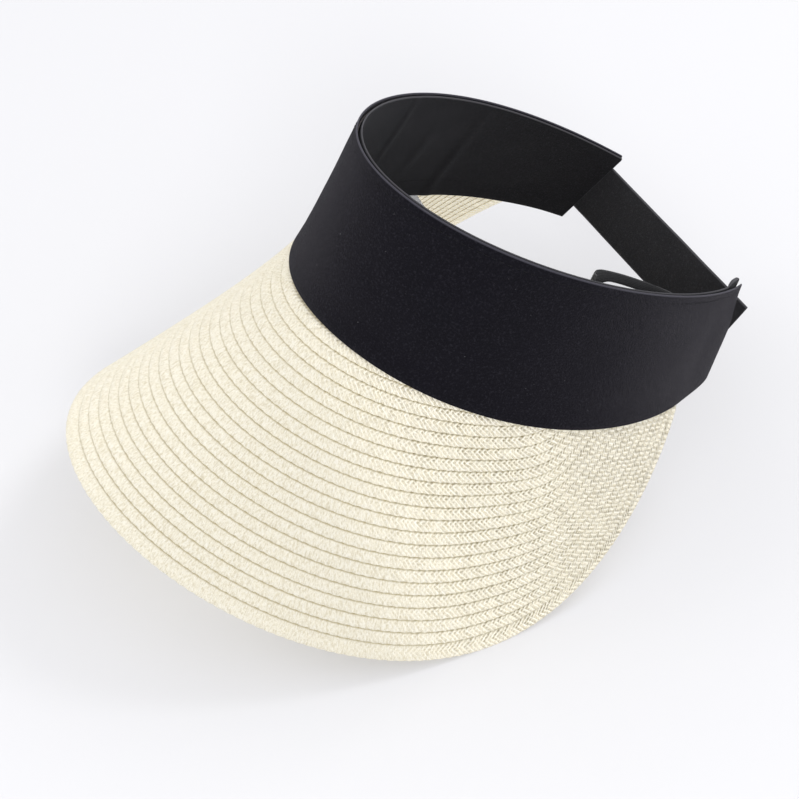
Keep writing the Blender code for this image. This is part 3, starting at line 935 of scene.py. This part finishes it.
def make_stitches():
    outside = COVER_OFFSET + LAYER_THICKNESS / 2
    inside = LINING_OFFSET - LAYER_THICKNESS / 2
    along = np.linspace(*TOP_STITCH_SPAN, 400)
    ups = np.full(400, TOP_STITCH_HEIGHT)
    path = wall_point(along, ups, outside)
    run = stitch_run("top_stitch_run", path, wall_normal(along, ups), LONG_STITCH)
    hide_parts("top_stitching")
    along = np.linspace(*JOINING_STITCH_SPAN, 400)
    ups = np.full(400, JOINING_STITCH_HEIGHT)
    path = wall_point(along, ups, inside)
    run = stitch_run("joining_stitch_run", path, -wall_normal(along, ups), LONG_STITCH)
    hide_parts("joining_stitching")
    along = np.full(40, -ANCHOR_STITCH_AT)
    ups = np.linspace(*STRAP_SPAN, 40)
    path = wall_point(along, ups, outside)
    run = stitch_run("strap_anchor_run", path, wall_normal(along, ups), SHORT_STITCH)
    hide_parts("strap_anchor_stitching")


# ---------------------------------------------------------------- strap


def strap_corners():
    """The strap's root corners and free corners, upper and lower."""
    heading = unit(np.array(STRAP_HEADING))
    lower, upper = (wall_point(np.array(-1.0), np.array(up)) for up in STRAP_SPAN)
    lower, upper = lower + heading * STRAP_ROOT_GAP, upper + heading * STRAP_ROOT_GAP
    middle = (lower + upper) / 2 + heading * STRAP_LENGTH
    half = unit(np.array(STRAP_FREE_EDGE)) * np.linalg.norm(upper - lower) / 2
    return upper, lower, middle - half, middle + half


def strap_point(share, across, raised=0.0):
    """Points of the strap: share 0 (root) to 1 (free end), across 0 (lower edge) to 1 (upper edge)."""
    upper, lower, free_upper, free_lower = strap_corners()
    given = (np.asarray(value, float)[..., None] for value in (share, across, raised))
    share, across, raised = np.broadcast_arrays(*given)
    top = upper + (free_upper - upper) * share
    bottom = lower + (free_lower - lower) * share
    edge = unit(top - bottom)
    ahead = unit(free_upper + free_lower - upper - lower)
    normal = unit(np.cross(ahead, edge))
    normal = np.where(normal[..., 1:2] > 0, normal, -normal)
    return bottom + (top - bottom) * across + normal * raised


def strap_root_rings(section, half):
    """Points and fibres of the strap's root, between the layers of the band and up to its end."""
    along = np.linspace(*STRAP_ROOT_ALONG, 8)
    rings = np.empty((len(along), len(section), 3))
    for column, (across, height, bulge) in enumerate(section):
        up = STRAP_SPAN[0] + (STRAP_SPAN[1] - STRAP_SPAN[0]) * across + bulge * half / STRAP_ROOT_HEIGHT
        rings[:, column] = wall_point(along, np.full(len(along), up), STRAP_ROOT_HALF * height)
    fibres = np.zeros_like(rings)
    fibres[..., 0] = np.linspace(*STRAP_ROOT_THREADS, len(rings))[:, None]
    fibres[..., 1] = section[None, :, 0] * STRAP_WIDTH
    return rings, fibres


def make_strap():
    steps, half = 130, STRAP_THICKNESS / 2
    section = rounded_section(15, 4)
    share = np.linspace(0.0, 1.0, steps)
    arc = share * STRAP_LENGTH
    ends = np.sqrt(np.clip((STRAP_LENGTH - arc) / half, 0.05, 1.0))
    rings = np.empty((steps, len(section), 3))
    fibres = np.empty_like(rings)
    for column, (across, height, bulge) in enumerate(section):
        wide = across + bulge * half / STRAP_WIDTH
        hem = sum(np.exp(-(((across - at) / 0.035) ** 2)) for at in (0.06, 0.94)) * STRAP_HEM
        wave = waves(arc * 1000.0, across * STRAP_WIDTH * 1000.0, 0.12) * STRAP_UNEVENNESS
        raised = half * height + wave * smooth(arc, 0.0, 0.01) + hem * height
        rings[:, column] = strap_point(share, np.full(steps, wide), raised * ends)
        pale_edge = 0.9 * (1.0 - smooth(min(across, 1.0 - across) * STRAP_WIDTH, 0.0, PALE_EDGE_WIDTH))
        fibres[:, column] = np.stack([arc, np.full(steps, across * STRAP_WIDTH), np.full(steps, pale_edge)], -1)
    root, root_fibres = strap_root_rings(section, half)
    rings = np.concatenate([root, rings])
    fibres = np.concatenate([root_fibres, fibres])
    strap = swept("strap_cloth", rings, fibres, LOOKS["strap_cloth"])
    start = strap_point(np.array(-STRAP_BEND), np.array(0.5))
    end = strap_point(np.array(STRAP_BEND), np.array(0.5))
    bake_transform(strap)
    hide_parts("rear_strap", "strap_root_tab")


# ---------------------------------------------------------------- elastic loop and label


def elastic_point(turn, share, raised):
    """Points of the ribbon: turn 0 (sewn end) to 180 degrees (other end), share 0 (lower edge) to 1."""
    swing = np.radians(turn)
    inside = -LINING_OFFSET + LAYER_THICKNESS / 2 + SKIN_GAP + ELASTIC_THICKNESS
    along = ELASTIC_CENTRE - ELASTIC_HALF_SPAN * np.cos(swing)
    sunk = ELASTIC_FALL * ((1.0 - np.cos(swing)) / 2.0) ** 2
    sewn = np.exp(-((turn / ELASTIC_NARROWS_AT) ** 6))
    width = ELASTIC_WIDTH * (ELASTIC_FREE_SHARE + ELASTIC_SEWN_EXTRA * sewn)
    height = ELASTIC_RISE - sunk - width * (1.0 - share)
    depth = inside + ELASTIC_DEPTH * np.sin(swing) + raised * np.sin(swing)
    thickened = along + raised * np.cos(swing) * SHARES_PER_METRE
    return wall_point(thickened, 1.0 + height / wall_height(along), -depth)


def make_elastic_loop():
    steps, half = 90, ELASTIC_THICKNESS / 2
    section = rounded_section(9)
    turn = np.linspace(0.0, 180.0, steps)
    arc = turn / 180.0 * ELASTIC_LENGTH
    rings = np.empty((steps, len(section), 3))
    fibres = np.empty_like(rings)
    for column, (share, height, bulge) in enumerate(section):
        shares = np.full(steps, share + bulge * half / ELASTIC_WIDTH)
        rings[:, column] = elastic_point(turn, shares, half * height)
        fibres[:, column] = np.stack([arc, shares * ELASTIC_WIDTH, np.zeros(steps)], -1)
    loop = swept("elastic_ribbon_loop", rings, fibres, LOOKS["elastic"])
    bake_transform(loop)
    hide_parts("elastic_loop")


def make_label():
    """A blank woven label, a little curled."""
    steps, half = 30, LABEL_THICKNESS / 2
    section = rounded_section(13)
    share = np.linspace(0.0, 1.0, steps)
    arc = share * LABEL_LENGTH
    heading = unit(np.array(LABEL_HEADING))
    root = wall_point(np.linspace(*LABEL_SPAN, 50), 0.0, -LABEL_OFFSET)
    places = np.linspace(0.0, 1.0, len(root))
    side = unit(root[-1] - root[0])
    normal = unit(np.cross(side, heading))
    rings = np.empty((steps, len(section), 3))
    fibres = np.empty_like(rings)
    for column, (across, height, bulge) in enumerate(section):
        foot = np.array([np.interp(across, places, root[:, k]) for k in range(3)])
        foot = foot + side * bulge * half
        curl = LABEL_CURL * share**2 * (1.0 + 0.4 * math.cos(across * math.pi))
        spot = foot[None, :] + heading[None, :] * arc[:, None]
        rings[:, column] = spot + normal * (curl + half * height)[:, None]
        fibres[:, column] = np.stack([arc, np.full(steps, across * LABEL_WIDTH), np.zeros(steps)], -1)
    label = swept("blank_label", rings, fibres, LOOKS["label_satin"])
    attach(label, "label")
    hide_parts("care_label")


def dress_hook_tape():
    """The hook tape keeps its CAD shape and gets its nap here."""
    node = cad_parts["hook_tape"]
    node.data.materials.clear()
    node.data.materials.append(LOOKS["hook_nylon"])


# ---------------------------------------------------------------- stage, light and camera


def make_floor():
    made, _, shader = new_material("floor_paper")
    shader.inputs["Base Color"].default_value = FLOOR_COLOUR
    shader.inputs["Roughness"].default_value = 0.9
    shader.inputs["Specular IOR Level"].default_value = 0.1
    corners = [(x * FLOOR_REACH, y * FLOOR_REACH, 0.0) for x, y in ((-1, -1), (1, -1), (1, 1), (-1, 1))]
    floor = make_object("floor", corners, [(0, 1, 2, 3)], made, smooth_shading=False)
    floor.location.z = min(CAD_BOX[0].z, 0.0) - FLOOR_GAP


def area_light(name, place, size, power):
    data = bpy.data.lights.new(name, "AREA")
    data.shape = "DISK"
    data.size = size
    data.energy = power
    item = bpy.data.objects.new(name, data)
    item.location = place
    item.rotation_euler = (Vector(LIGHT_TARGET) - Vector(place)).to_track_quat("-Z", "Y").to_euler()
    bpy.context.scene.collection.objects.link(item)


def make_light():
    world = bpy.data.worlds.new("studio")
    world.use_nodes = True
    back = world.node_tree.nodes["Background"]
    back.inputs["Color"].default_value = WORLD_COLOUR
    back.inputs["Strength"].default_value = WORLD_STRENGTH
    bpy.context.scene.world = world
    for name, (place, size, power) in LIGHTS.items():
        area_light(name, place, size, power)


def make_camera():
    azimuth, elevation = math.radians(CAMERA_AZIMUTH), math.radians(CAMERA_ELEVATION)
    flat = math.cos(elevation)
    back = Vector((math.sin(azimuth) * flat, -math.cos(azimuth) * flat, math.sin(elevation)))
    data = bpy.data.cameras.new("camera")
    data.sensor_width = 36.0
    data.lens = CAMERA_LENS
    data.clip_start = 0.01
    data.clip_end = 20.0
    item = bpy.data.objects.new("camera", data)
    item.location = Vector(CAMERA_TARGET) + back * CAMERA_DISTANCE
    item.rotation_euler = (-back).to_track_quat("-Z", "Y").to_euler()
    bpy.context.scene.collection.objects.link(item)
    bpy.context.scene.camera = item


make_camera()
make_brim()
make_band()
make_stitches()
make_strap()
make_elastic_loop()
make_label()
dress_hook_tape()
make_floor()
make_light()
bpy.context.scene.view_settings.view_transform = "Standard"
